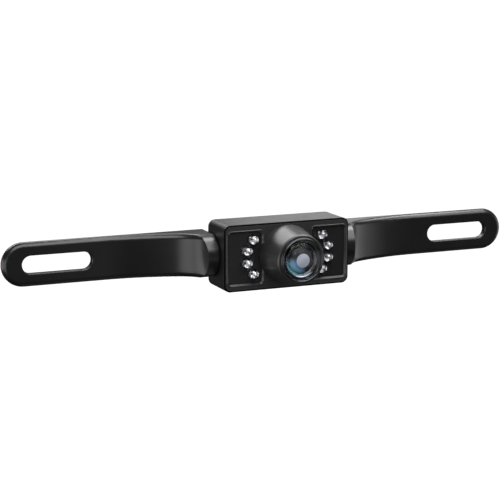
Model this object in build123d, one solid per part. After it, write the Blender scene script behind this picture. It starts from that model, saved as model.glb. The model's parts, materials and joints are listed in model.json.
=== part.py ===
from build123d import *
import math
import os

# Licence-plate camera: one moulded bar with a tilting camera head between its two cheeks.
# Millimetres. X runs along the bar, Z is up, the camera looks along -Y.
# The origin is the middle of the bar's flat back, centred between its two plate slots.

# ---- driving dimensions ----
BAR_LENGTH = 222.0
BAR_HEIGHT = 17.5
BAR_THICK = 2.7
SLOT_SPACING = 177.8
SLOT_LENGTH = 28.3
SLOT_WIDTH = 7.1
STRAP_THICK = 2.0
STRAP_HEIGHT = 14.0
WINDOW_WIDTH = 15.0
WINDOW_HEIGHT = 9.6
SWEEP_START = 70.0
ARM_WALL = 1.8
FRONT_RIM_FILLET = 2.2
SLOT_RIM_FILLET = 0.45

HEAD_WIDTH = 54.3
HEAD_HEIGHT = 26.8
HEAD_CORNER = 2.8
HEAD_BACK = -5.2
HEAD_FRONT = -22.9
WALL = 1.8
BACK_WALL = 1.6

PIVOT_Y = -10.8
NOSE_Y = -10.3
CHEEK_INNER = 27.6
CHEEK_OUTER = 30.2
CHEEK_RECESS = 0.6
CHEEK_FRONT = (32.0, -20.0)

LENS_Z = 0.35
BARREL_BASE_R = 11.9
BARREL_TIP_R = 10.0
BARREL_FRONT = -36.2
DOME_RADIUS = 14.1
DOME_RIM_R = 8.3
DOME_APEX = -39.7
DOME_WALL = 1.2
DOME_HOLLOW_R = 7.4

# ---- values worked out from them ----
HALF_BAR = BAR_HEIGHT / 2
SIDE_X = HEAD_WIDTH / 2
INNER_W = HEAD_WIDTH - 2 * WALL
INNER_H = HEAD_HEIGHT - 2 * WALL
INNER_BACK = HEAD_BACK - BACK_WALL
SEAM = HEAD_FRONT + 1.2
COVER_INSIDE = HEAD_FRONT + 2.3
PANEL_SEAT = HEAD_FRONT + 1.4
PANEL_FACE = HEAD_FRONT + 0.6
FIT_GAP = 0.1

LED_BOARD_FRONT = COVER_INSIDE + 0.9
LED_BOARD_BACK = LED_BOARD_FRONT + 1.2
MAIN_BOARD_FRONT = -11.5
MAIN_BOARD_BACK = MAIN_BOARD_FRONT + 1.2
BOARD_HALF_X = 20.3
LED_SPOTS = [(x, LENS_Z + z) for x, z in ((14.95, 6.9), (17.55, 2.5), (17.55, -2.5), (14.95, -6.9))]
LED_R = 1.9
LED_FLANGE_R = 2.2
LED_TIP = LED_BOARD_FRONT - 5.9
HOUSING_SCREWS = [(x, z) for x in (-22.9, 22.9) for z in (-9.2, 9.2)]
BOARD_SCREWS = [(x, z) for x in (-18.7, 18.7) for z in (-8.3, 8.3)]
HOLDER_SCREWS = [(-9.4, LENS_Z), (9.4, LENS_Z)]
PILLAR_SPLIT = -16.0

LENS_SEAT = -35.2
LENS_HEAD_BACK = -27.0
LENS_THREAD_R = 5.95
LENS_TAIL = -14.6
HOLDER_FRONT = -20.8
HOLDER_BASE_FRONT = -14.4
HOLDER_TUBE_R = 7.2

PIVOT_R = 1.25


# ---- helpers ----
def slab(outline, back, front):
    """A flat outline in X and Z, given thickness from back to front along -Y."""
    return extrude(Plane.XZ.offset(-back) * outline, amount=back - front)


def rod_y(radius, back, front, x=0, z=0):
    return slab(Pos(x, z) * Circle(radius), back, front)


def rounded_block(width, height, corner, back, front):
    return slab(RectangleRounded(width, height, corner), back, front)


def turned(points):
    """A solid of revolution about Y from (radius, y) corners."""
    return revolve(make_face(Polyline(*points, close=True)), Axis.Y)


def rod_x(radius, x_from, x_to, y=PIVOT_Y):
    """A round rod along X between two stations, either way round."""
    low, high = sorted((x_from, x_to))
    return extrude(Plane.YZ.offset(low) * Pos(y, 0) * Circle(radius), amount=high - low)


def group(solids):
    return Compound(children=list(solids))


def sag(radius, r):
    """How far a sphere's surface drops from its apex at distance r from its axis."""
    return radius - math.sqrt(radius * radius - r * r)


def lens_face(radius, rim, apex, bulge):
    """An arc from the axis out to the rim, for one face of a lens. bulge is -1 towards -Y, 1 towards +Y."""
    half = rim / 2
    middle = (half, apex - bulge * sag(radius, half))
    return ThreePointArc((0, apex), middle, (rim, apex - bulge * sag(radius, rim)))


def lens(rim, front, back):
    """A glass element from two faces, each (sphere radius, apex y, bulge)."""
    front_arc = lens_face(front[0], rim, front[1], front[2])
    back_arc = lens_face(back[0], rim, back[1], back[2])
    edge = Line(front_arc @ 1, back_arc @ 1)
    axis_line = Line(back_arc @ 0, front_arc @ 0)
    return revolve(make_face([front_arc, edge, back_arc, axis_line]), Axis.Y)


# ---- bar ----
def arm_front():
    """The bar's front edge in plan, from its tip to the cheek, as one curve for the +X side."""
    start = (SWEEP_START, -BAR_THICK)
    flat = Line((BAR_LENGTH / 2 + 1, -BAR_THICK), start)
    sweep_points = [start, (55, -4.0), (43, -7.0), (36.6, -10.2), (33.5, -14.0), CHEEK_FRONT]
    swept = Spline(*sweep_points, tangents=[(-1, 0), (-0.12, -1)])
    return flat, swept


def arm_blank():
    """One arm and its cheek, solid, with the front corners rounded."""
    flat, swept = arm_front()
    tip_x = BAR_LENGTH / 2 + 1
    corners = [CHEEK_FRONT, (CHEEK_INNER, CHEEK_FRONT[1]), (CHEEK_INNER, 0), (tip_x, 0), (tip_x, -BAR_THICK)]
    plan = extrude(make_face([flat, swept, Polyline(*corners)]), amount=HALF_BAR + 1, both=True)
    blank = plan & slab(SlotOverall(BAR_LENGTH, BAR_HEIGHT), 0.0, -25.0)
    front = [(edge, edge @ 0.5) for edge in blank.edges() if (edge @ 0.5).Y < -BAR_THICK / 2]
    along = [edge for edge, middle in front if abs(middle.Z) > HALF_BAR - 0.01 and middle.X > 34]
    round_tip = [edge for edge, middle in front if middle.X > BAR_LENGTH / 2 - 3]
    return fillet(along + round_tip, FRONT_RIM_FILLET)


def nose_profile():
    """The side view that the cheeks keep: square at the back, a half round at the front."""
    block = Pos(NOSE_Y / 2, 0) * Rectangle(-NOSE_Y, BAR_HEIGHT)
    return extrude(Plane.YZ * (block + Pos(NOSE_Y, 0) * Circle(HALF_BAR)), amount=BAR_LENGTH, both=True)


def arm_pocket():
    """The cored back of the arm, with two cross ribs left in it."""
    wall_line = Spline((60, -1.6), (54.7, -2.3), (42.5, -5.3), (35.6, -8.7), (32.1, -13.2))
    corners = [(32.1, -13.2), (31.9, -13.6), (CHEEK_OUTER, -13.6), (CHEEK_OUTER, 1), (60, 1), (60, -1.6)]
    pocket = extrude(make_face([wall_line, Polyline(*corners)]), amount=HALF_BAR - ARM_WALL, both=True)
    ribs = [Pos(x, -5, 0) * Box(1.2, 20, BAR_HEIGHT) for x in (38.5, 47.0)]
    for rib in ribs:
        pocket -= rib
    return pocket


def right_arm():
    slot = slab(Pos(SLOT_SPACING / 2, 0) * SlotOverall(SLOT_LENGTH, SLOT_WIDTH), 1.0, -5.0)
    arm = arm_blank() & nose_profile()
    arm = arm - arm_pocket() - slot
    middles = [(edge, edge @ 0.5) for edge in arm.edges()]
    slot_rim = [
        edge for edge, at in middles
        if abs(at.Y + BAR_THICK) < 0.01 and abs(at.Z) < SLOT_WIDTH and at.X > SWEEP_START + 2
    ]
    arm = fillet(slot_rim, SLOT_RIM_FILLET)
    arm -= rod_x(3.3, CHEEK_INNER - 1, CHEEK_INNER + CHEEK_RECESS)
    arm -= rod_x(PIVOT_R + 0.07, CHEEK_INNER, CHEEK_OUTER + 1)
    return arm


def stretch(solid, x_from, x_to):
    """The part of a solid between two stations along X."""
    return solid & Pos((x_from + x_to) / 2, 0, 0) * Box(x_to - x_from, BAR_LENGTH, BAR_LENGTH)


def bracket():
    """One moulding, kept as five solids that meet at plain cuts: slotted ends, arms and strap."""
    arm = right_arm()
    slotted_end = stretch(arm, SWEEP_START, BAR_LENGTH / 2 + 1)
    swept_arm = stretch(arm, CHEEK_INNER, SWEEP_START)
    strap = slab(Rectangle(2 * CHEEK_INNER, STRAP_HEIGHT), 0.0, -STRAP_THICK)
    strap -= rounded_block(WINDOW_WIDTH, WINDOW_HEIGHT, 2.0, 1.0, -5.0)
    right = [slotted_end, swept_arm]
    return group(right + [mirror(solid, Plane.YZ) for solid in right] + [strap])


# ---- camera housing ----
def rear_housing():
    shell = rounded_block(HEAD_WIDTH, HEAD_HEIGHT, HEAD_CORNER, HEAD_BACK, SEAM)
    shell = fillet(shell.faces().sort_by(Axis.Y)[-1].edges(), 0.7)
    shell -= rounded_block(INNER_W, INNER_H, 1.2, INNER_BACK, SEAM - 1)
    shell -= rounded_block(INNER_W + 1.6, INNER_H + 1.6, 2.0, SEAM + 1.0, SEAM - 1)
    pillars = [rod_y(2.6, INNER_BACK + 0.5, PILLAR_SPLIT, x, z) for x, z in HOUSING_SCREWS]
    shell += pillars
    shell -= [rod_y(1.15, HEAD_BACK + 1, PILLAR_SPLIT - 1, x, z) for x, z in HOUSING_SCREWS]
    shell -= [rod_y(2.35, HEAD_BACK + 1, HEAD_BACK - 1.2, x, z) for x, z in HOUSING_SCREWS]
    shell -= rod_y(2.9, HEAD_BACK + 1, INNER_BACK - 1)
    shell -= rod_x(PIVOT_R + 0.05, -SIDE_X - 1, SIDE_X + 1)
    return shell


def panel_outline(gap):
    """One LED panel's outline on the +X side, smaller all round by gap."""
    x_in, x_out, z_low, z_high = 11.0, 25.2, -10.3, 10.1
    centre = Pos((x_in + x_out) / 2, (z_low + z_high) / 2)
    return centre * RectangleRounded(x_out - x_in - 2 * gap, z_high - z_low - 2 * gap, 1.0)


def panel_pocket():
    pocket = slab(panel_outline(0.0), PANEL_SEAT, HEAD_FRONT - 1)
    bevel = 0.45
    mouth = extrude(Plane.XZ.offset(-(HEAD_FRONT + bevel)) * panel_outline(0.0), amount=bevel, taper=-45)
    return pocket + mouth


def barrel():
    """The tapered tube round the lens, with a rounded lip."""
    lip = 0.9
    tip = BARREL_FRONT
    root_r = 10.9
    outline = [
        Polyline(
            (8.5, COVER_INSIDE), (root_r, COVER_INSIDE), (root_r, HEAD_FRONT + 0.5),
            (BARREL_BASE_R, HEAD_FRONT + 0.5), (BARREL_BASE_R, HEAD_FRONT), (BARREL_TIP_R, tip + lip)),
        RadiusArc((BARREL_TIP_R, tip + lip), (BARREL_TIP_R - lip * 0.6, tip), lip),
        Line((BARREL_TIP_R - lip * 0.6, tip), (9.35, tip)),
        Line((9.35, tip), (9.35, -33.2)),
        Line((9.35, -33.2), (8.5, -33.2)),
        Line((8.5, -33.2), (8.5, COVER_INSIDE)),
    ]
    return revolve(make_face(outline), Axis.Y)


def front_cover():
    plate = rounded_block(HEAD_WIDTH, HEAD_HEIGHT, HEAD_CORNER, SEAM, HEAD_FRONT)
    plate = fillet(plate.faces().sort_by(Axis.Y)[0].edges(), 0.5)
    plate += rounded_block(INNER_W - 0.2, INNER_H - 0.2, 1.1, LED_BOARD_BACK, SEAM)
    plate -= rounded_block(INNER_W - 2.6, INNER_H - 2.6, 0.6, LED_BOARD_BACK + 1, COVER_INSIDE)
    pocket = panel_pocket()
    plate -= pocket
    plate -= mirror(pocket, Plane.YZ)
    plate -= rod_y(9.0, 0.0, -30.0, z=LENS_Z)
    plate += Pos(0, 0, LENS_Z) * barrel()
    plate += [rod_y(2.2, PILLAR_SPLIT - 0.1, COVER_INSIDE - 0.2, x, z) for x, z in HOUSING_SCREWS]
    plate += [rod_y(1.75, LED_BOARD_FRONT, COVER_INSIDE - 0.2, x, z) for x, z in BOARD_SCREWS]
    plate -= [rod_y(1.0, PILLAR_SPLIT + 1, -20.2, x, z) for x, z in HOUSING_SCREWS]
    plate -= [rod_y(0.8, LED_BOARD_BACK, -21.2, x, z) for x, z in BOARD_SCREWS]
    plate -= [rod_y(LED_R + 0.1, 0.0, -30.0, x, z) for x, z in both_sides(LED_SPOTS)]
    return plate


def both_sides(spots):
    return spots + [(-x, z) for x, z in spots]


def housing_seal():
    ring = rounded_block(INNER_W + 1.5, INNER_H + 1.5, 1.95, SEAM + 1.0, SEAM)
    return ring - rounded_block(INNER_W - 0.1, INNER_H - 0.1, 1.15, SEAM + 2, SEAM - 1)


def led_panel():
    panel = slab(panel_outline(FIT_GAP), PANEL_SEAT, PANEL_FACE)
    panel -= rod_y(BARREL_BASE_R + FIT_GAP, 0.0, -30.0, z=LENS_Z)
    panel -= [rod_y(LED_R + 0.15, 0.0, -30.0, x, z) for x, z in LED_SPOTS]
    return panel


# ---- lens, from the outside in ----
def front_lens():
    """Domed cover glass of even thickness, with a flat seat round its back."""
    rim_y = DOME_APEX + sag(DOME_RADIUS, DOME_RIM_R)
    inner_radius = DOME_RADIUS - DOME_WALL
    inner_apex = DOME_APEX + DOME_WALL
    outer = lens_face(DOME_RADIUS, DOME_RIM_R, DOME_APEX, -1)
    inner = lens_face(inner_radius, DOME_HOLLOW_R, inner_apex, -1)
    edge = Polyline((DOME_RIM_R, rim_y), (DOME_RIM_R, LENS_SEAT), (DOME_HOLLOW_R, LENS_SEAT), inner @ 1)
    return revolve(make_face([outer, edge, inner, Line(inner @ 0, outer @ 0)]), Axis.Y)


def lens_trim_ring():
    """Bezel that screws into the barrel's mouth and holds the dome by its rim."""
    return turned([
        (9.3, -33.25), (9.3, -36.6), (8.9, -37.3), (8.5, -37.55), (8.1, -37.35), (8.1, -37.2),
        (8.36, -37.1), (8.36, -33.25),
    ])


def lens_body():
    """Lens tube: a chamfered mouth under the dome, a seal groove, and a thread down to the sensor end."""
    return turned([
        (8.3, LENS_SEAT), (8.3, -33.1), (7.38, -33.1), (7.38, -31.7), (8.3, -31.7),
        (8.3, LENS_HEAD_BACK), (LENS_THREAD_R, LENS_HEAD_BACK), (LENS_THREAD_R, LENS_TAIL),
        (4.0, LENS_TAIL), (4.0, -20.5), (2.6, -20.5), (2.6, -23.5), (4.6, -23.5), (4.6, -33.3),
        (5.3, -33.3), (5.3, -36.2), (5.8, -36.7), (6.3, -36.3), (6.3, LENS_SEAT),
    ])


def lens_seal():
    return Pos(0, -32.4, 0) * Rot(90, 0, 0) * Torus(7.93, 0.54)


def second_lens():
    return lens(5.2, (7.5, -38.1, -1), (9.0, -35.0, -1))


def third_lens():
    return lens(4.5, (10.0, -27.0, -1), (10.0, -24.2, 1))


def rear_lens():
    return lens(3.9, (9.0, -20.3, -1), (9.0, -17.2, 1))


def ring(r_out, r_in, back, front):
    return rod_y(r_out, back, front) - rod_y(r_in, back + 1, front - 1)


def lens_lock_ring():
    """Threaded ring with four spanner notches that locks the lens in its holder."""
    body = ring(7.8, LENS_THREAD_R + 0.05, HOLDER_FRONT, HOLDER_FRONT - 1.5)
    notch = Pos(7.8, HOLDER_FRONT - 0.75, 0) * Box(1.4, 2, 1.8)
    body -= [Rot(0, turn, 0) * notch for turn in (45, 135, 225, 315)]
    return body


def lens_holder():
    """Moulded holder on the main board: a threaded tube on a square foot with two screw ears."""
    tube = rod_y(HOLDER_TUBE_R, HOLDER_BASE_FRONT, HOLDER_FRONT)
    foot = slab(RectangleRounded(14, 14, 1.0), MAIN_BOARD_FRONT, HOLDER_BASE_FRONT)
    ears = slab(SlotOverall(23.4, 4.6), MAIN_BOARD_FRONT, MAIN_BOARD_FRONT - 2.0)
    holder = tube + foot + ears
    holder -= rod_y(LENS_THREAD_R + 0.05, HOLDER_BASE_FRONT, HOLDER_FRONT - 1)
    holder -= slab(Rectangle(8, 8), HOLDER_BASE_FRONT + 0.5, HOLDER_BASE_FRONT - 0.1)
    holder -= slab(Rectangle(6, 6), MAIN_BOARD_FRONT + 1, HOLDER_BASE_FRONT)
    holder -= slab(Rectangle(10, 9), MAIN_BOARD_FRONT + 1, MAIN_BOARD_FRONT - 1.7)
    holder -= [rod_y(0.8, 0.0, -25.0, x) for x, _ in HOLDER_SCREWS]
    return holder


# ---- electronics ----
def part_on_board(width, height, x, z, back, front):
    return slab(Pos(x, z) * Rectangle(width, height), back, front)


def led_board():
    board = rounded_block(2 * BOARD_HALF_X, 19.8, 1.0, LED_BOARD_BACK, LED_BOARD_FRONT)
    board -= rod_y(8.1, 0.0, -25.0, z=LENS_Z)
    return board - [rod_y(0.9, 0.0, -25.0, x, z) for x, z in BOARD_SCREWS]


def main_board():
    board = rounded_block(2 * BOARD_HALF_X, 21.0, 1.0, MAIN_BOARD_BACK, MAIN_BOARD_FRONT)
    holes = [(x, z, 0.9) for x, z in BOARD_SCREWS] + [(x, z, 0.85) for x, z in HOLDER_SCREWS]
    return board - [rod_y(r, 0.0, -25.0, x, z) for x, z, r in holes]


def ir_led(x, z):
    """Clear lamp with a flange at its base and a round tip."""
    dome_start = LED_TIP + LED_R
    outline = [
        Polyline(
            (0, LED_BOARD_FRONT), (LED_FLANGE_R, LED_BOARD_FRONT), (LED_FLANGE_R, LED_BOARD_FRONT - 0.75),
            (LED_R, LED_BOARD_FRONT - 0.75), (LED_R, dome_start)),
        CenterArc((0, dome_start), LED_R, 0, -90),
        Line((0, LED_TIP), (0, LED_BOARD_FRONT)),
    ]
    return Pos(x, 0, z) * revolve(make_face(outline), Axis.Y)


def video_chips():
    back, front = MAIN_BOARD_BACK + 0.9, MAIN_BOARD_BACK
    return group([
        part_on_board(6.5, 6.5, -14.4, 3.0, back, front),
        part_on_board(4, 5, 14.0, 5.5, back, front),
        part_on_board(3, 3, -14.0, -5.0, back, front),
    ])


def board_capacitors():
    back, front = MAIN_BOARD_FRONT, MAIN_BOARD_FRONT - 1.9
    return group([
        part_on_board(2.8, 3.5, x, z, back, front) for x in (-14.5, 14.5) for z in (-2.6, 2.6)
    ])


def led_resistors():
    back, front = LED_BOARD_BACK + 0.5, LED_BOARD_BACK
    return group([
        part_on_board(1.6, 3.2, x, z, back, front) for x in (-11.5, 11.5) for z in (-5.0, 5.0)
    ])


# ---- fasteners and gland ----
def screw_y(x, z, head_r, head_back, head_front, shank_r, tip):
    """Pan-head screw along Y with a cross recess in its head."""
    head = rod_y(head_r, head_back, head_front, x, z)
    head = fillet(head.faces().sort_by(Axis.Y)[-1].edges(), 0.3)
    recess = [Pos(x, head_back, z) * Box(*size) for size in ((head_r, 0.9, 0.5), (0.5, 0.9, head_r))]
    return head - recess + rod_y(shank_r, head_front, tip, x, z)


def housing_screws():
    head_back, head_front = HEAD_BACK - 0.1, HEAD_BACK - 1.2
    return group([
        screw_y(x, z, 2.1, head_back, head_front, 1.0, -19.8) for x, z in HOUSING_SCREWS])


def board_screws():
    head_back = MAIN_BOARD_BACK + 1.0
    return group([
        screw_y(x, z, 1.6, head_back, MAIN_BOARD_BACK, 0.8, -21.0) for x, z in BOARD_SCREWS])


def holder_screws():
    head_back = MAIN_BOARD_BACK + 1.0
    return group([
        screw_y(x, z, 1.5, head_back, MAIN_BOARD_BACK, 0.8, -13.3) for x, z in HOLDER_SCREWS])


def board_spacers():
    return group([
        rod_y(1.45, MAIN_BOARD_FRONT, LED_BOARD_BACK, x, z)
        - rod_y(0.9, MAIN_BOARD_FRONT + 1, LED_BOARD_BACK - 1, x, z)
        for x, z in BOARD_SCREWS
    ])


def cable_gland():
    """Rubber gland: a flange each side of the back wall and a short tapered nose, bored for the lead."""
    return turned([
        (1.7, INNER_BACK - 0.8), (4.0, INNER_BACK - 0.8), (4.0, INNER_BACK), (2.85, INNER_BACK),
        (2.85, HEAD_BACK), (3.9, HEAD_BACK), (3.9, HEAD_BACK + 0.8), (3.2, HEAD_BACK + 0.8),
        (2.7, HEAD_BACK + 2.2), (1.7, HEAD_BACK + 2.2),
    ])


def pivot_screw():
    """Machine screw along +X from inside the housing, through the cheek and its nut."""
    wall_inside = SIDE_X - WALL
    head = rod_x(2.2, wall_inside - 1.3, wall_inside)
    head = fillet(head.faces().sort_by(Axis.X)[0].edges(), 0.4)
    socket = Pos(wall_inside - 1.3, PIVOT_Y, 0) * Rot(0, 90, 0) * extrude(
        RegularPolygon(1.0, 6), amount=0.7, both=True)
    return head - socket + rod_x(PIVOT_R, wall_inside, 32.2)


def friction_washer():
    return rod_x(3.1, SIDE_X, CHEEK_INNER + CHEEK_RECESS - 0.08) - rod_x(PIVOT_R + 0.03, 20, 40)


def pivot_washer():
    return rod_x(2.6, CHEEK_OUTER + 0.06, CHEEK_OUTER + 0.46) - rod_x(PIVOT_R + 0.03, 20, 40)


def pivot_nut():
    across_flats = 5.0
    start = CHEEK_OUTER + 0.46
    prism = Plane.YZ.offset(start) * Pos(PIVOT_Y, 0) * RegularPolygon(
        across_flats / 2, 6, major_radius=False, rotation=30)
    return extrude(prism, amount=1.2) - rod_x(PIVOT_R + 0.01, 20, 40)


# ---- everything, by node name ----
def make_nodes():
    nodes = {
        "bracket": bracket(),
        "rear_housing": rear_housing(),
        "front_cover": front_cover(),
        "housing_seal": housing_seal(),
        "front_lens": front_lens(),
        "lens_trim_ring": lens_trim_ring(),
        "lens_body": lens_body(),
        "lens_seal": lens_seal(),
        "second_lens": second_lens(),
        "lens_spacer": ring(4.5, 3.7, -26.4, -33.2),
        "third_lens": third_lens(),
        "aperture_ring": ring(4.5, 1.0, -23.55, -23.9),
        "rear_lens": rear_lens(),
        "rear_lens_ring": ring(3.95, 2.8, -15.4, -16.8),
        "lens_lock_ring": lens_lock_ring(),
        "lens_holder": lens_holder(),
        "ir_cut_filter": part_on_board(7.8, 7.8, 0, 0, HOLDER_BASE_FRONT + 0.5, HOLDER_BASE_FRONT),
        "image_sensor": part_on_board(8, 7, 0, 0, MAIN_BOARD_FRONT, MAIN_BOARD_FRONT - 1.0),
        "main_board": main_board(),
        "led_board": led_board(),
        "video_chips": video_chips(),
        "clock_crystal": part_on_board(3.2, 2.5, 14.0, -1.0, MAIN_BOARD_BACK + 0.8, MAIN_BOARD_BACK),
        "board_capacitors": board_capacitors(),
        "led_resistors": led_resistors(),
        "board_header": part_on_board(10, 2.2, 0, 8.8, MAIN_BOARD_FRONT, LED_BOARD_BACK),
        "cable_connector": part_on_board(9, 2.6, 0, -8.7, MAIN_BOARD_FRONT, MAIN_BOARD_FRONT - 3.6),
        "board_spacers": board_spacers(),
        "board_screws": board_screws(),
        "holder_screws": holder_screws(),
        "housing_screws": housing_screws(),
        "cable_gland": cable_gland(),
    }
    sided = {
        "led_panel": led_panel(),
        "pivot_screw": pivot_screw(),
        "friction_washer": friction_washer(),
        "pivot_washer": pivot_washer(),
        "pivot_nut": pivot_nut(),
    }
    on_lens_axis = (
        "front_lens", "lens_trim_ring", "lens_body", "lens_seal", "second_lens", "lens_spacer",
        "third_lens", "aperture_ring", "rear_lens", "rear_lens_ring", "lens_lock_ring",
        "lens_holder", "ir_cut_filter", "image_sensor",
    )
    for name in on_lens_axis:
        nodes[name] = Pos(0, 0, LENS_Z) * nodes[name]
    for name, solid in sided.items():
        nodes[name + "_right"] = solid
        nodes[name + "_left"] = mirror(solid, Plane.YZ)
    for number, (x, z) in enumerate(both_sides(LED_SPOTS), start=1):
        nodes[f"ir_led_{number}"] = ir_led(x, z)
    return nodes


os.makedirs("parts", exist_ok=True)
for node, shape in make_nodes().items():
    export_step(shape, f"parts/{node}.step")
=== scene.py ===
import json
import math

import bmesh
import bpy
from mathutils import Matrix, Vector


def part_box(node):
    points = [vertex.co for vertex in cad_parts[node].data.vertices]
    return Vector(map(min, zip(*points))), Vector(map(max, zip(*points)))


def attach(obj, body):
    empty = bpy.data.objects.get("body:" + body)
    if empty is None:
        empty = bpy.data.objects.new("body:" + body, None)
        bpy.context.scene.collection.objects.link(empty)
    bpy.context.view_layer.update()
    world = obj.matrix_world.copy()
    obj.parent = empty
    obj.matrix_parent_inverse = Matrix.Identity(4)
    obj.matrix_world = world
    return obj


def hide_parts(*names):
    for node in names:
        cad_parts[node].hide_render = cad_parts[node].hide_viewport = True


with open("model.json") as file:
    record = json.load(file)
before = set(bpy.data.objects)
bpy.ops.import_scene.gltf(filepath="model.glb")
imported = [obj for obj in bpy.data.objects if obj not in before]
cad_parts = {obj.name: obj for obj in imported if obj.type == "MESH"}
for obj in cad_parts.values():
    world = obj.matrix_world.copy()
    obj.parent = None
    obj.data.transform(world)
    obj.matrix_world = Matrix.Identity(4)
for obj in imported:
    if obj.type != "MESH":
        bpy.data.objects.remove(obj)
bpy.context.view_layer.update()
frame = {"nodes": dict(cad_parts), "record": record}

NODES = frame["nodes"]
MM = 0.001
WELD = 0.000002  # points nearer than this, in metres, are one point


def node_centre(name):
    """A node's middle in X and Z and its front and back in Y, in millimetres."""
    low, high = (Vector(corner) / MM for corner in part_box(name))
    return ((low.x + high.x) / 2, (low.z + high.z) / 2), low.y, high.y


# ---------------------------------------------------------------- materials
TURNED = (1, 6, 1)  # squeezes a metal's marks along Y, as a lathe leaves them
PAINTED_GLINT_SIDE = (-0.68, 0.0, -0.73)  # from the lens axis to the side where the coatings' glint is painted into the colour
CHAMFER_HIGHLIGHT_SIDE = (-0.28, 0.0, -0.96)  # from the lens axis to where the tube's chamfer has a painted highlight
ELEMENT_R = 5.2  # the second element's radius, in millimetres
MIX_FACTOR, MIX_A, MIX_B, MIX_RESULT = 0, 6, 7, 2  # a Mix node's colour sockets


def grey(level):
    return (level, level, level)


class Shader:
    """A material's node tree, with short ways to add nodes and join them."""

    def __init__(self, name):
        self.material = bpy.data.materials.new(name)
        self.material.use_nodes = True
        self.tree = self.material.node_tree
        self.tree.nodes.clear()
        output = self.add("ShaderNodeOutputMaterial")
        self.surface = self.add("ShaderNodeBsdfPrincipled")
        self.link(self.surface, "BSDF", output, "Surface")

    def add(self, kind, **settings):
        node = self.tree.nodes.new(kind)
        for key, value in settings.items():
            setattr(node, key, value)
        return node

    def link(self, source, output, target, socket):
        self.tree.links.new(source.outputs[output], target.inputs[socket])

    def put(self, **values):
        """Sets the surface's sockets, written with _ where their names have a space."""
        for socket, value in values.items():
            self.surface.inputs[socket.replace("_", " ")].default_value = value

    def noise(self, scale, detail=4.0):
        place = self.add("ShaderNodeTexCoord")
        node = self.add("ShaderNodeTexNoise")
        node.inputs["Scale"].default_value = scale
        node.inputs["Detail"].default_value = detail
        node.inputs["Roughness"].default_value = 0.55
        self.link(place, "Object", node, "Vector")
        return node

    def ramp(self, source, output, stops):
        node = self.add("ShaderNodeValToRGB")
        elements = node.color_ramp.elements
        while len(elements) < len(stops):
            elements.new(0.5)
        for element, (at, colour) in zip(elements, stops):
            element.position = at
            element.color = (*colour, 1.0)
        self.link(source, output, node, "Fac")
        return node

    def colour(self, source, output, stops):
        """Colours the surface by a ramp."""
        self.link(self.ramp(source, output, stops), "Color", self.surface, "Base Color")

    def roughen(self, source, low, high):
        """Spreads a texture's factor over a range of roughness."""
        node = self.add("ShaderNodeMapRange")
        node.inputs["To Min"].default_value = low
        node.inputs["To Max"].default_value = high
        self.link(source, "Fac", node, "Value")
        self.link(node, "Result", self.surface, "Roughness")

    def bump(self, source, depth):
        """Raises the surface by a texture's factor, by a depth in metres."""
        node = self.add("ShaderNodeBump")
        node.inputs["Distance"].default_value = depth
        node.inputs["Strength"].default_value = 1.0
        self.link(source, "Fac", node, "Height")
        self.link(node, "Normal", self.surface, "Normal")


def moulded_plastic(name, dark, light, rough, grain=2200.0, depth=0.00001, specular=0.5):
    """Moulded plastic: a faint spark-eroded grain, cloudy gloss and a little tone change."""
    s = Shader(name)
    s.colour(s.noise(55.0, 3.0), "Fac", [(0.3, dark), (0.7, light)])
    s.roughen(s.noise(140.0, 5.0), rough - 0.05, rough + 0.05)
    s.bump(s.noise(grain, 2.0), depth)
    s.put(IOR=1.5, Specular_IOR_Level=specular)
    return s.material


def soft_rubber(name):
    s = Shader(name)
    clouds = s.noise(180.0, 5.0)
    s.colour(clouds, "Fac", [(0.3, grey(0.012)), (0.7, grey(0.03))])
    s.roughen(clouds, 0.62, 0.8)
    s.bump(s.noise(2600.0, 3.0), 0.00002)
    return s.material


def metal(name, dark, light, rough, stretch=(1, 1, 1)):
    """Metal with fine turning or drawing marks, stretched across the axis they run round."""
    s = Shader(name)
    place = s.add("ShaderNodeTexCoord")
    squeeze = s.add("ShaderNodeMapping")
    squeeze.inputs["Scale"].default_value = stretch
    s.link(place, "Object", squeeze, "Vector")
    marks = s.add("ShaderNodeTexNoise")
    marks.inputs["Scale"].default_value = 900.0
    marks.inputs["Detail"].default_value = 4.0
    s.link(squeeze, "Vector", marks, "Vector")
    s.colour(marks, "Fac", [(0.25, dark), (0.75, light)])
    s.roughen(marks, rough - 0.07, rough + 0.07)
    s.bump(marks, 0.000006)
    s.put(Metallic=1.0)
    return s.material


def optical_glass(name, tint, ior=1.52):
    """Clear polished glass, with the faintest unevenness in its polish."""
    s = Shader(name)
    haze = s.noise(300.0, 2.0)
    s.roughen(haze, 0.0, 0.02)
    s.colour(haze, "Fac", [(0.4, tint), (0.6, tuple(min(1.0, c * 1.02) for c in tint))])
    s.put(Transmission_Weight=1.0, IOR=ior)
    return s.material


def circuit_board(name):
    """Green solder mask with a pattern of tracks under it."""
    s = Shader(name)
    place = s.add("ShaderNodeTexCoord")
    tracks = s.add("ShaderNodeTexBrick")
    tracks.inputs["Scale"].default_value = 420.0
    tracks.inputs["Mortar Size"].default_value = 0.03
    tracks.inputs["Color1"].default_value = (0.012, 0.11, 0.045, 1.0)
    tracks.inputs["Color2"].default_value = (0.016, 0.14, 0.055, 1.0)
    tracks.inputs["Mortar"].default_value = (0.02, 0.2, 0.08, 1.0)
    turn = s.add("ShaderNodeMapping")
    turn.inputs["Rotation"].default_value = (math.radians(90), 0, 0)
    s.link(place, "Object", turn, "Vector")
    s.link(turn, "Vector", tracks, "Vector")
    s.link(tracks, "Color", s.surface, "Base Color")
    s.roughen(s.noise(400.0), 0.25, 0.4)
    s.bump(tracks, 0.00002)
    return s.material


def chip_epoxy(name, dark, light):
    s = Shader(name)
    grit = s.noise(1500.0, 6.0)
    s.colour(grit, "Fac", [(0.3, dark), (0.7, light)])
    s.roughen(grit, 0.45, 0.7)
    s.bump(grit, 0.00001)
    return s.material


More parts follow.
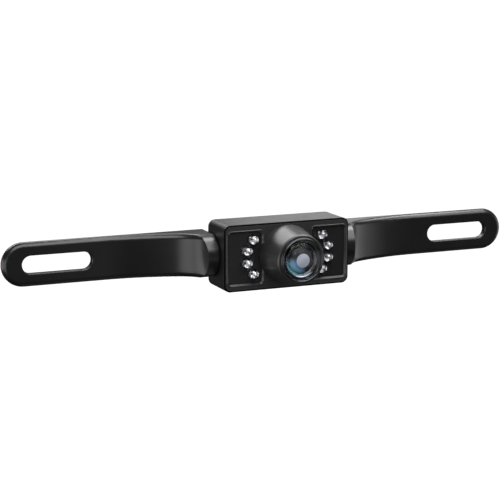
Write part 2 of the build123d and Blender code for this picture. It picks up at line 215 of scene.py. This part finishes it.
def round_lens_axis(s, towards):
    """Nodes for the distance from the lens axis, and for how much a point lies towards a side."""
    centre, _, _ = node_centre("second_lens")
    place = s.add("ShaderNodeTexCoord")
    shift = s.add("ShaderNodeMapping")
    shift.inputs["Location"].default_value = (-centre[0] * MM, 0.0, -centre[1] * MM)
    s.link(place, "Object", shift, "Vector")
    flat = s.add("ShaderNodeVectorMath", operation="MULTIPLY")
    flat.inputs[1].default_value = (1.0, 0.0, 1.0)
    s.link(shift, "Vector", flat, 0)
    reach = s.add("ShaderNodeVectorMath", operation="LENGTH")
    s.link(flat, "Vector", reach, 0)
    unit = s.add("ShaderNodeVectorMath", operation="NORMALIZE")
    s.link(flat, "Vector", unit, 0)
    lean = s.add("ShaderNodeVectorMath", operation="DOT_PRODUCT")
    lean.inputs[1].default_value = towards
    s.link(unit, "Vector", lean, 0)
    return reach, lean


def element_with_painted_glint(name):
    """A coated lens over a dark stop, with painted reflections: a pale violet disc in its middle,
    and the coatings' blue glint at its lower left.
    """
    s = Shader(name)
    reach, lean = round_lens_axis(s, PAINTED_GLINT_SIDE)
    share = s.add("ShaderNodeMapRange")
    share.inputs["From Max"].default_value = ELEMENT_R * MM
    s.link(reach, "Value", share, "Value")
    # The pale violet disc in the middle is a painted reflection.
    painted_reflection_disc = [(0.0, (0.26, 0.28, 0.31)), (0.50, (0.29, 0.31, 0.36))]
    dark = s.ramp(share, "Result", painted_reflection_disc + [
        (0.55, (0.022, 0.022, 0.025)), (0.70, (0.032, 0.032, 0.035)), (1.0, (0.02, 0.02, 0.022))])
    # Painted glint: blue and teal reflections of the coatings, mixed in towards the lower left.
    painted_glint = s.ramp(share, "Result", painted_reflection_disc + [
        (0.57, (0.06, 0.12, 0.22)), (0.78, (0.14, 0.28, 0.43)), (1.0, (0.14, 0.28, 0.36))])
    side = s.add("ShaderNodeMapRange", interpolation_type="SMOOTHSTEP")
    side.inputs["From Min"].default_value = 0.38
    side.inputs["From Max"].default_value = 1.0
    s.link(lean, "Value", side, "Value")
    mix = s.add("ShaderNodeMix", data_type="RGBA")
    s.link(side, "Result", mix, MIX_FACTOR)
    s.link(dark, "Color", mix, MIX_A)
    s.link(painted_glint, "Color", mix, MIX_B)
    s.link(mix, MIX_RESULT, s.surface, "Base Color")
    s.roughen(s.noise(300.0, 2.0), 0.08, 0.14)
    s.put(IOR=1.13)
    return s.material


def lens_cell_with_painted_glint(name):
    """Black anodising under the dome, with a painted reflection of the coatings' blue glint at its
    lower left.
    """
    s = Shader(name)
    _, lean = round_lens_axis(s, PAINTED_GLINT_SIDE)
    # Dark anodising, turning to a painted blue and teal reflection towards the lower left.
    s.colour(lean, "Value", [
        (0.58, (0.030, 0.030, 0.032)), (0.80, (0.08, 0.16, 0.22)), (0.97, (0.10, 0.26, 0.27))])
    turned = s.add("ShaderNodeTexWave", wave_type="RINGS", rings_direction="Y")
    turned.inputs["Scale"].default_value = 900.0
    turned.inputs["Distortion"].default_value = 0.4
    place = s.add("ShaderNodeTexCoord")
    s.link(place, "Object", turned, "Vector")
    s.bump(turned, 0.000006)
    s.roughen(s.noise(700.0), 0.25, 0.4)
    return s.material


def chamfer_with_painted_highlight(name):
    """The tube's bare chamfer: a painted highlight at the bottom, fading to dark above."""
    s = Shader(name)
    _, lean = round_lens_axis(s, CHAMFER_HIGHLIGHT_SIDE)
    # Painted highlight: bright towards the bottom, dark above.
    s.colour(lean, "Value", [
        (0.48, (0.016, 0.016, 0.017)), (0.74, (0.09, 0.14, 0.17)), (0.94, (0.26, 0.29, 0.32))])
    s.roughen(s.noise(700.0), 0.32, 0.42)
    s.put(Metallic=1.0)
    return s.material


# A finish for each slot of the record, and some that only the new pieces have.
MATERIALS = {
    "bar_plastic": moulded_plastic(
        "bar_moulding", grey(0.005), grey(0.007), 0.30, specular=0.36),
    "housing_plastic": moulded_plastic("housing_moulding", grey(0.006), grey(0.008), 0.33),
    "cover_plastic": moulded_plastic("cover_moulding", grey(0.011), grey(0.014), 0.40),
    # Near-black and matte: painted shade standing in for a deep gap at the seam.
    "seam_painted_shade": moulded_plastic("seam_painted_shade", grey(0.002), grey(0.003), 0.8, specular=0.05),
    "panel_plastic": moulded_plastic(
        "lamp_panel", grey(0.008), grey(0.010), 0.28, grain=900.0, depth=0.000004, specular=0.2),
    "rubber": soft_rubber("soft_rubber"),
    "optical_glass": optical_glass("coated_glass", (0.97, 0.98, 1.0)),
    "lens_metal": metal(
        "black_anodised", (0.02, 0.02, 0.022), (0.05, 0.05, 0.055), 0.35, TURNED),
    "holder_plastic": moulded_plastic("holder_moulding", grey(0.02), grey(0.03), 0.5),
    "chip_plastic": chip_epoxy("chip_epoxy", (0.012, 0.012, 0.013), (0.03, 0.03, 0.032)),
    "steel": metal("plated_steel", (0.45, 0.45, 0.46), (0.68, 0.68, 0.69), 0.3),
    "board_laminate": circuit_board("solder_mask"),
    "connector_plastic": moulded_plastic("nylon", (0.72, 0.70, 0.62), (0.8, 0.78, 0.7), 0.45),
    "brass": metal("turned_brass", (0.62, 0.44, 0.17), (0.8, 0.6, 0.28), 0.28, TURNED),
    "lamp_resin": optical_glass("lamp_resin", (0.97, 0.975, 1.0), 1.48),
    "lead_frame": metal("silvered_frame", (0.80, 0.80, 0.82), (0.95, 0.95, 0.96), 0.32),
    "dome": optical_glass("dome_glass", (0.98, 0.985, 1.0), 1.11),
    "cell": lens_cell_with_painted_glint("lens_cell_anodising_and_painted_glint"),
    # The seat: a lighter grey than the tube, painted lighter to make up for the shade it lies in
    # under the trim ring.
    "seat_painted_lighter": moulded_plastic("seat_painted_lighter", (0.045, 0.045, 0.048), (0.06, 0.06, 0.064), 0.5),
    "chamfer_painted_highlight": chamfer_with_painted_highlight("chamfer_with_painted_highlight"),
    "element_with_painted_glint": element_with_painted_glint("element_with_painted_glint"),
    "trim": metal("trim_anodising", (0.05, 0.05, 0.055), (0.09, 0.09, 0.095), 0.3, TURNED),
}


def dress_cad_nodes():
    """Gives each CAD node the procedural material of its slot in the record."""
    for part in frame["record"]["subparts"]:
        node = NODES[part["node"]]
        node.data.materials.clear()
        node.data.materials.append(MATERIALS[part["material_slot"]])


# ---------------------------------------------------------------- mesh helpers
SHARP_ANGLE = math.radians(32)
FLAT_ANGLE = math.radians(0.4)
INSIDE = 0.02  # millimetres behind a face, enough to be inside its own solid


def new_piece(name, bm, body, material):
    """Makes a named object of a bmesh, riding on a body and in one of the record's slots."""
    bmesh.ops.recalc_face_normals(bm, faces=bm.faces)
    mesh = bpy.data.meshes.new(name)
    bm.to_mesh(mesh)
    bm.free()
    for face in mesh.polygons:
        face.use_smooth = True
    mesh.set_sharp_from_angle(angle=SHARP_ANGLE)
    mesh.materials.append(material)
    piece = bpy.data.objects.new(name, mesh)
    bpy.context.scene.collection.objects.link(piece)
    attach(piece, body)
    return piece


def arc(centre, radius, start, end, steps):
    """Points (r, y) on an arc, from one angle to another in degrees, 0 along +r and 90 along +y."""
    turns = [math.radians(start + (end - start) * i / steps) for i in range(steps + 1)]
    return [(centre[0] + radius * math.cos(t), centre[1] + radius * math.sin(t)) for t in turns]


def lathe(bm, profile, centre, steps):
    """Turns a closed (r, y) outline in millimetres about a line along Y through centre (x, z)."""
    cx, cz = centre
    rings = []
    for r, y in profile:
        if r < 1e-6:
            rings.append([bm.verts.new(Vector((cx, y, cz)) * MM)])
            continue
        ring = []
        for i in range(steps):
            turn = 2 * math.pi * i / steps
            point = Vector((cx + r * math.cos(turn), y, cz + r * math.sin(turn)))
            ring.append(bm.verts.new(point * MM))
        rings.append(ring)
    for low, high in zip(rings, rings[1:] + rings[:1]):
        if len(low) == 1 and len(high) == 1:
            continue
        for i in range(steps):
            n = i + 1
            corners = [low[i % len(low)], low[n % len(low)]]
            corners += [high[n % len(high)], high[i % len(high)]]
            bm.faces.new(list(dict.fromkeys(corners)))


def rod_x(radius, x_from, x_to, y, steps=64):
    """A rod along X at height 0, in millimetres."""
    bm = bmesh.new()
    ends = []
    for x in (x_from, x_to):
        end = []
        for i in range(steps):
            turn = 2 * math.pi * (i + 0.5) / steps
            point = Vector((x, y + radius * math.cos(turn), radius * math.sin(turn)))
            end.append(bm.verts.new(point * MM))
        ends.append(end)
    for i in range(steps):
        n = (i + 1) % steps
        bm.faces.new([ends[0][i], ends[0][n], ends[1][n], ends[1][i]])
    bm.faces.new(ends[0])
    bm.faces.new(ends[1][::-1])
    bmesh.ops.recalc_face_normals(bm, faces=bm.faces)
    return bm


def rounded_outline(low, high, corner, steps=8):
    """Points (x, z) round a rectangle with rounded corners, in millimetres."""
    points = []
    corners = ((high[0], high[1]), (low[0], high[1]), (low[0], low[1]), (high[0], low[1]))
    for index, (x, z) in enumerate(corners):
        x_side, z_side = (1 if x == high[0] else -1), (1 if z == high[1] else -1)
        middle = (x - corner * x_side, z - corner * z_side)
        points += arc(middle, corner, 90 * index, 90 * (index + 1), steps)
    return points


def sweep(outline, profile):
    """A closed profile of (outward, y) points carried round a closed outline of (x, z) points."""
    bm = bmesh.new()
    rings = []
    count = len(outline)
    for i, (x, z) in enumerate(outline):
        before, after = outline[i - 1], outline[(i + 1) % count]
        along = Vector((after[0] - before[0], after[1] - before[1])).normalized()
        out = Vector((along.y, -along.x))
        ring = [bm.verts.new(Vector((x + out.x * o, y, z + out.y * o)) * MM) for o, y in profile]
        rings.append(ring)
    for ring, following in zip(rings, rings[1:] + rings[:1]):
        for k in range(len(profile)):
            n = (k + 1) % len(profile)
            bm.faces.new([ring[k], ring[n], following[n], following[k]])
    bmesh.ops.recalc_face_normals(bm, faces=bm.faces)
    return bm


def scratch_object(bm):
    """An object that holds a bmesh only while it is combined with others."""
    mesh = bpy.data.meshes.new("scratch")
    bm.to_mesh(mesh)
    bm.free()
    piece = bpy.data.objects.new("scratch", mesh)
    bpy.context.scene.collection.objects.link(piece)
    return piece


def combined(base, tools):
    """A solid with each tool in turn added ("UNION") or cut away ("DIFFERENCE"), as one bmesh."""
    body = scratch_object(base)
    scratch = [body]
    for operation, tool_bm in tools:
        tool = scratch_object(tool_bm)
        modifier = body.modifiers.new("step", "BOOLEAN")
        modifier.operation, modifier.object, modifier.solver = operation, tool, "EXACT"
        scratch.append(tool)
    bpy.context.view_layer.update()
    result = bmesh.new()
    result.from_object(body, bpy.context.evaluated_depsgraph_get())
    for piece in scratch:
        mesh = piece.data
        bpy.data.objects.remove(piece)
        bpy.data.meshes.remove(mesh)
    bmesh.ops.remove_doubles(result, verts=result.verts, dist=WELD)
    bmesh.ops.dissolve_degenerate(result, edges=result.edges, dist=WELD)
    bmesh.ops.dissolve_limit(
        result, angle_limit=FLAT_ANGLE, verts=result.verts, edges=result.edges,
        delimit={"NORMAL"})
    return result


def node_solids(name, splits=()):
    """A copy of a node's mesh as closed bmeshes, one for each stretch of X between the splits."""
    source = bmesh.new()
    source.from_mesh(NODES[name].data)
    groups = {}
    for face in source.faces:
        inside = face.calc_center_median() - face.normal * INSIDE * MM
        groups.setdefault(sum(inside.x > x * MM for x in splits), []).append(face)
    solids = []
    for _, faces in sorted(groups.items()):
        solid = bmesh.new()
        made = {}
        for face in faces:
            corners = []
            for vert in face.verts:
                if vert not in made:
                    made[vert] = solid.verts.new(vert.co)
                corners.append(made[vert])
            solid.faces.new(corners)
        bmesh.ops.remove_doubles(solid, verts=solid.verts, dist=WELD)
        solids.append(solid)
    source.free()
    return solids


def weigh_normals(piece):
    """Keeps the flats flat beside their fillets."""
    modifier = piece.modifiers.new("weigh", "WEIGHTED_NORMAL")
    modifier.keep_sharp = True
    modifier.weight = 100
    bpy.context.view_layer.update()
    evaluated = piece.evaluated_get(bpy.context.evaluated_depsgraph_get())
    mesh = bpy.data.meshes.new_from_object(evaluated)
    piece.modifiers.clear()
    mesh.name = piece.name
    piece.data = mesh


# ---------------------------------------------------------------- the bar and the face plate
BAR_SPLITS = (-70.0, -27.6, 27.6, 70.0)  # X where the bar's five CAD solids meet


def make_bar():
    """The bar as one skin, where its CAD node is five solids, with room for the nuts to turn."""
    solids = node_solids("bracket", BAR_SPLITS)
    steps = [("UNION", solid) for solid in solids[1:]]
    low, high = (Vector(corner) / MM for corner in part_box("pivot_nut_right"))
    relief_r, inner_spare, outer_spare = 3.15, 0.3, 0.15
    pivot_y = low.y / 2 + high.y / 2
    for side in (1, -1):
        x_from, x_to = side * (low.x - inner_spare), side * (high.x + outer_spare)
        steps.append(("DIFFERENCE", rod_x(relief_r, x_from, x_to, pivot_y)))
    bm = combined(solids[0], steps)
    bar = new_piece("bar_moulding", bm, "bar", MATERIALS["bar_plastic"])
    weigh_normals(bar)
    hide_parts("bracket")


def make_face_plate():
    """The front cover, with a step for the seam round its edge, painted near-black as the seam's
    shade, and a lip round each panel.
    """
    low, high = (Vector(corner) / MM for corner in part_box("rear_housing"))
    panel_low, panel_high = (Vector(corner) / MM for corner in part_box("led_panel_right"))
    panel_sink, step_size, spare, edge_corner = 0.6, 0.7, 1.0, 2.8
    lip_gap, lip_corner, bead_out, bead_sink, bead_r = 0.1, 1.1, 0.75, 0.06, 0.3
    largest_step_area = 400
    face_y = panel_low.y - panel_sink
    step_y = face_y + step_size
    edge = rounded_outline((low.x, low.z), (high.x, high.z), edge_corner)
    step = sweep(edge, [
        (-step_size, face_y - spare), (-step_size, step_y),
        (spare, step_y), (spare, face_y - spare)])
    lips = []
    for side in (1, -1):
        spans = sorted((side * panel_low.x, side * panel_high.x))
        outline = rounded_outline(
            (spans[0] - lip_gap, panel_low.z - lip_gap),
            (spans[1] + lip_gap, panel_high.z + lip_gap), lip_corner)
        bead = arc((bead_out, face_y + bead_sink), bead_r, 180, 360, 8)
        bead += [(bead_out + bead_r, face_y + bead_r), (bead_out - bead_r, face_y + bead_r)]
        lips.append(("UNION", sweep(outline, bead)))
    bm = combined(node_solids("front_cover")[0], [("DIFFERENCE", step)] + lips)
    plate = new_piece(
        "face_plate", bm, "camera_head", MATERIALS["cover_plastic"])
    # Second slot: the step's front faces, painted near-black as the seam's shade.
    plate.data.materials.append(MATERIALS["seam_painted_shade"])
    for face in plate.data.polygons:
        faces_front = abs(face.normal.y) > 0.9 and abs(face.center.y - step_y * MM) < 0.05 * MM
        if faces_front and face.area < largest_step_area * MM * MM:
            face.material_index = 1
    weigh_normals(plate)
    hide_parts("front_cover")


# ---------------------------------------------------------------- the lens
def sag(radius, r):
    """How far a sphere falls away at a distance from its axis."""
    return radius - math.sqrt(radius * radius - r * r)


def cap(radius, rim, apex, steps=24):
    """Points (r, y) on a dome that bulges towards -Y, from its axis out to its rim."""
    return [(rim * i / steps, apex + sag(radius, rim * i / steps)) for i in range(steps + 1)]


def make_dome():
    """The cover glass: an even dome with a ground bevel round its rim and its seat."""
    centre, front, back = node_centre("front_lens")
    rim, radius, wall, hollow_r = 8.28, 14.1, 1.2, 7.4
    front_bevel, seat_bevel, seat_gap = 0.12, 0.2, 0.05
    hollow = cap(radius - wall, hollow_r, front + wall)
    seat = back - seat_gap
    outline = cap(radius, rim - front_bevel, front)
    outline += [(rim, front + sag(radius, rim) + 0.1), (rim, seat - seat_bevel)]
    outline += [(rim - seat_bevel, seat), (hollow_r, seat)] + hollow[::-1]
    bm = bmesh.new()
    lathe(bm, outline, centre, 160)
    dome = new_piece("dome_glass", bm, "camera_head", MATERIALS["dome"])
    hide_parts("front_lens")


def make_trim_ring():
    """The thin bezel that holds the dome, with a rounded nose and a slope outside it."""
    centre, front, back = node_centre("lens_trim_ring")
    bore, lip, nose_middle, nose_r, outer = 8.36, 8.16, 8.42, 0.28, 9.3
    outline = [(bore, back), (bore, front + 0.45), (lip, front + 0.4)]
    outline += arc((nose_middle, front + nose_r), nose_r, 180, 315, 8)
    outline += [(8.72, front + 0.8), (8.85, front + 0.95), (outer, front + 1.0), (outer, back)]
    bm = bmesh.new()
    lathe(bm, outline, centre, 160)
    ring = new_piece("trim_ring", bm, "camera_head", MATERIALS["trim"])
    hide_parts("lens_trim_ring")


def make_lens_cell():
    """The black lens tube under the dome, with a chamfer at its mouth that carries a painted
    highlight, a seat painted lighter, and a cut thread.
    """
    centre, front, back = node_centre("lens_body")
    outer, mouth, mouth_rim, chamfer_foot = 8.3, 6.85, 6.7, 6.4
    cone_foot, bore, throat, stop, tail = 5.4, 5.3, 4.6, 2.6, 4.0
    thread_r, thread_depth, pitch, thread_end = 5.95, 0.2, 0.5, 0.4
    shoulder, groove_floor, chamfer_back = 8.1, 7.4, 0.6
    seat = front + 1.5
    outline = [(outer, seat), (mouth, seat), (mouth, front + 0.5), (mouth_rim, front + 0.36)]
    outline += [(chamfer_foot, front + chamfer_back), (cone_foot, front + 1.1), (bore, front + 1.2)]
    outline += [(bore, front + 3.4), (throat, front + 3.4), (throat, front + 13.2)]
    outline += [(stop, front + 13.2), (stop, front + 16.2), (tail, front + 16.2), (tail, back)]
    outline.append((thread_r - thread_depth, back))
    for turn in range(int((back - thread_end - (front + 9.9)) / pitch)):
        y = back - thread_end - turn * pitch
        outline += [(thread_r, y), (thread_r - thread_depth, y - pitch / 2)]
    outline += [(thread_r - 0.3, front + 9.7), (shoulder, front + 9.7), (outer, front + 9.5)]
    outline += [(outer, seat + 3.5), (groove_floor, seat + 3.5)]
    outline += [(groove_floor, seat + 2.1), (outer, seat + 2.1)]
    bm = bmesh.new()
    lathe(bm, outline, centre, 128)
    cell = new_piece("lens_cell", bm, "camera_head", MATERIALS["cell"])
    # Second slot: the chamfer's painted highlight.
    cell.data.materials.append(MATERIALS["chamfer_painted_highlight"])
    # Third slot: the seat, painted lighter against its shade.
    cell.data.materials.append(MATERIALS["seat_painted_lighter"])
    for face in cell.data.polygons:
        reach = math.hypot(face.center.x - centre[0] * MM, face.center.z - centre[1] * MM)
        # The chamfer's faces get the painted highlight.
        on_chamfer = chamfer_foot * MM < reach < (mouth - 0.01) * MM
        if on_chamfer and face.center.y < (front + chamfer_back) * MM:
            face.material_index = 1
        # The seat's faces get the grey that is painted lighter against their shade.
        on_seat = (mouth + 0.05) * MM < reach < (outer - 0.1) * MM
        if on_seat and abs(face.center.y - seat * MM) < 0.1 * MM:
            face.material_index = 2
    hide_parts("lens_body")


def make_inner_glass():
    """The bulging second element, whose dark stop and painted reflections show through the dome."""
    centre, front, back = node_centre("second_lens")
    rim, front_radius, back_radius = 5.18, 7.5, 9.0
    hollow_apex = back - sag(back_radius, rim)
    outline = cap(front_radius, rim, front, 40) + cap(back_radius, rim, hollow_apex, 16)[::-1]
    bm = bmesh.new()
    lathe(bm, outline, centre, 128)
    glass = new_piece(
        "second_glass", bm, "camera_head", MATERIALS["element_with_painted_glint"])
    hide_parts("second_lens")


# ---------------------------------------------------------------- the lamps
def add_plate(bm, centre, size):
    """A small leaf of the lead frame, as a box with softened corners."""
    shape = bmesh.ops.create_cube(bm, size=1.0)["verts"]
    scale = Matrix.Diagonal((*[s * MM for s in size], 1.0))
    bmesh.ops.transform(bm, matrix=Matrix.Translation(Vector(centre) * MM) @ scale, verts=shape)
    edges = list({edge for vert in shape for edge in vert.link_edges})
    bmesh.ops.bevel(bm, geom=edges, offset=0.06 * MM, segments=2, affect="EDGES")


def make_lamp(number):
    """One clear lamp: resin body, lead frame with its reflector cup, and the die in the cup."""
    name = f"ir_led_{number}"
    centre, front, back = node_centre(name)
    radius, flange_r, flange_t, bevel = 1.9, 2.2, 0.75, 0.1
    tip = arc((0, front + radius), radius, -90, 0, 16)
    tip[0] = (0.0, front)
    outline = tip + [(radius, back - flange_t), (flange_r - bevel, back - flange_t)]
    outline += [(flange_r, back - flange_t + bevel), (flange_r, back), (0.0, back)]
    bm = bmesh.new()
    lathe(bm, outline, centre, 64)
    body = new_piece(f"lamp_{number}", bm, "camera_head", MATERIALS["lamp_resin"])
    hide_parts(name)

    x, z = centre
    cup_x = x - 0.3
    cup_y = front + 1.9
    floor_r, floor_depth, mouth_r, outer_r, foot_r, cup_depth = 0.35, 0.75, 0.95, 1.1, 0.5, 1.2
    cup = [(0, cup_y + floor_depth), (floor_r, cup_y + floor_depth), (mouth_r, cup_y)]
    cup += [(outer_r, cup_y), (outer_r, cup_y + 0.3)]
    cup += [(foot_r, cup_y + cup_depth), (0, cup_y + cup_depth)]
    frame_bm = bmesh.new()
    lathe(frame_bm, cup, (cup_x, z), 48)
    stem = back - 0.2 - (cup_y + 1.1)
    add_plate(frame_bm, (x - 0.5, cup_y + 1.1 + stem / 2, z), (0.8, stem, 1.5))
    add_plate(frame_bm, (x + 1.0, cup_y + 0.2 + (stem + 0.9) / 2, z), (0.5, stem + 0.9, 1.2))
    new_piece(f"lamp_frame_{number}", frame_bm, "camera_head", MATERIALS["lead_frame"])

    die_bm = bmesh.new()
    add_plate(die_bm, (cup_x, cup_y + 0.68, z), (0.34, 0.2, 0.34))
    new_piece(
        f"lamp_die_{number}", die_bm, "camera_head", MATERIALS["chip_plastic"])


# ---------------------------------------------------------------- studio
CAMERA_AZIMUTH, CAMERA_ELEVATION = math.radians(23.09), math.radians(10.76)
CAMERA_TARGET = (-10.75, -10.0, 0.56)  # millimetres
CAMERA_DISTANCE, CAMERA_LENS = 0.671, 119.95
FLOOR_SIZE, FLOOR_HEIGHT = 6.0, -0.6

# For each soft box: name, direction and distance from the object, size, and radiance.
SOFT_BOXES = (
    ("front_top_box", (0.12, -0.56, 0.76), 1.4, (1.8, 1.07), 6.5),
    ("overhead_box", (0.42, 0.10, 0.90), 0.3, (0.14, 0.24), 13.0),
    ("back_left_box", (-0.14, 0.72, 0.68), 1.5, (1.35, 0.6), 6.5),
    ("back_right_box", (0.66, 0.76, 0.20), 1.6, (1.1, 0.5), 1.15),
    ("back_low_box", (0.72, 0.62, -0.32), 1.5, (0.5, 0.4), 0.8),
    ("left_front_box", (-0.76, -0.65, -0.12), 1.5, (1.2, 0.8), 3.4),
    ("left_box", (-1.0, 0.20, -0.10), 1.5, (1.5, 0.8), 3.6),
    ("right_box", (1.0, -0.12, -0.12), 1.4, (1.2, 0.8), 1.8),
    ("front_near_box", (0.27, -0.94, -0.20), 0.5, (0.08, 0.16), 0.9),
    ("low_box", (0.30, -0.10, -0.90), 0.5, (0.5, 0.4), 0.25),
)


def make_camera():
    """A long lens a little above and to the left of the head, as the photo was taken."""
    forward = Vector((
        math.sin(CAMERA_AZIMUTH) * math.cos(CAMERA_ELEVATION),
        math.cos(CAMERA_AZIMUTH) * math.cos(CAMERA_ELEVATION),
        -math.sin(CAMERA_ELEVATION)))
    data = bpy.data.cameras.new("camera")
    data.sensor_width = 36.0
    data.lens = CAMERA_LENS
    data.clip_start, data.clip_end = 0.01, 50.0
    camera = bpy.data.objects.new("camera", data)
    bpy.context.scene.collection.objects.link(camera)
    camera.location = Vector(CAMERA_TARGET) * MM - forward * CAMERA_DISTANCE
    camera.rotation_euler = forward.to_track_quat("-Z", "Y").to_euler()
    bpy.context.scene.camera = camera


def make_world():
    """White behind the object, and a dim room in what it reflects."""
    world = bpy.data.worlds.new("studio")
    bpy.context.scene.world = world
    world.use_nodes = True
    tree = world.node_tree
    tree.nodes.clear()
    output = tree.nodes.new("ShaderNodeOutputWorld")
    mix = tree.nodes.new("ShaderNodeMixShader")
    seen = tree.nodes.new("ShaderNodeLightPath")
    white = tree.nodes.new("ShaderNodeBackground")
    white.inputs["Color"].default_value = (1.0, 1.0, 1.0, 1.0)
    white.inputs["Strength"].default_value = 1.02
    room = tree.nodes.new("ShaderNodeBackground")
    room.inputs["Color"].default_value = (0.9, 0.95, 1.0, 1.0)
    room.inputs["Strength"].default_value = 0.03
    tree.links.new(seen.outputs["Is Camera Ray"], mix.inputs["Fac"])
    tree.links.new(room.outputs[0], mix.inputs[1])
    tree.links.new(white.outputs[0], mix.inputs[2])
    tree.links.new(mix.outputs[0], output.inputs["Surface"])


def make_floor():
    """A plain pale floor well below the object, seen only by the camera."""
    mesh = bpy.data.meshes.new("floor")
    bm = bmesh.new()
    bmesh.ops.create_grid(bm, x_segments=8, y_segments=8, size=FLOOR_SIZE)
    bm.to_mesh(mesh)
    bm.free()
    floor = bpy.data.objects.new("floor", mesh)
    bpy.context.scene.collection.objects.link(floor)
    floor.location = (0, 0, FLOOR_HEIGHT)
    s = Shader("pale_floor")
    s.colour(s.noise(30.0), "Fac", [(0, grey(0.82)), (1, grey(0.86))])
    s.put(Roughness=0.9, Emission_Color=(1, 1, 1, 1), Emission_Strength=1.0)
    mesh.materials.append(s.material)
    floor.visible_glossy = False
    floor.visible_diffuse = False
    floor.visible_transmission = False


def soft_box(name, direction, distance, size, radiance):
    """A soft box in a direction from the object, as bright as radiance says to what mirrors it."""
    lamp = bpy.data.lights.new(name, "AREA")
    lamp.shape = "RECTANGLE"
    lamp.size, lamp.size_y = size
    lamp.energy = radiance * math.pi * size[0] * size[1]
    piece = bpy.data.objects.new(name, lamp)
    bpy.context.scene.collection.objects.link(piece)
    place = Vector(direction).normalized() * distance
    piece.location = place
    piece.rotation_euler = (-place).to_track_quat("-Z", "Y").to_euler()
    piece.visible_camera = False


dress_cad_nodes()
make_bar()
make_face_plate()
make_dome()
make_trim_ring()
make_lens_cell()
make_inner_glass()
for lamp_number in range(1, 9):
    make_lamp(lamp_number)
make_camera()
make_world()
make_floor()
for box in SOFT_BOXES:
    soft_box(*box)
bpy.context.scene.view_settings.view_transform = "Standard"
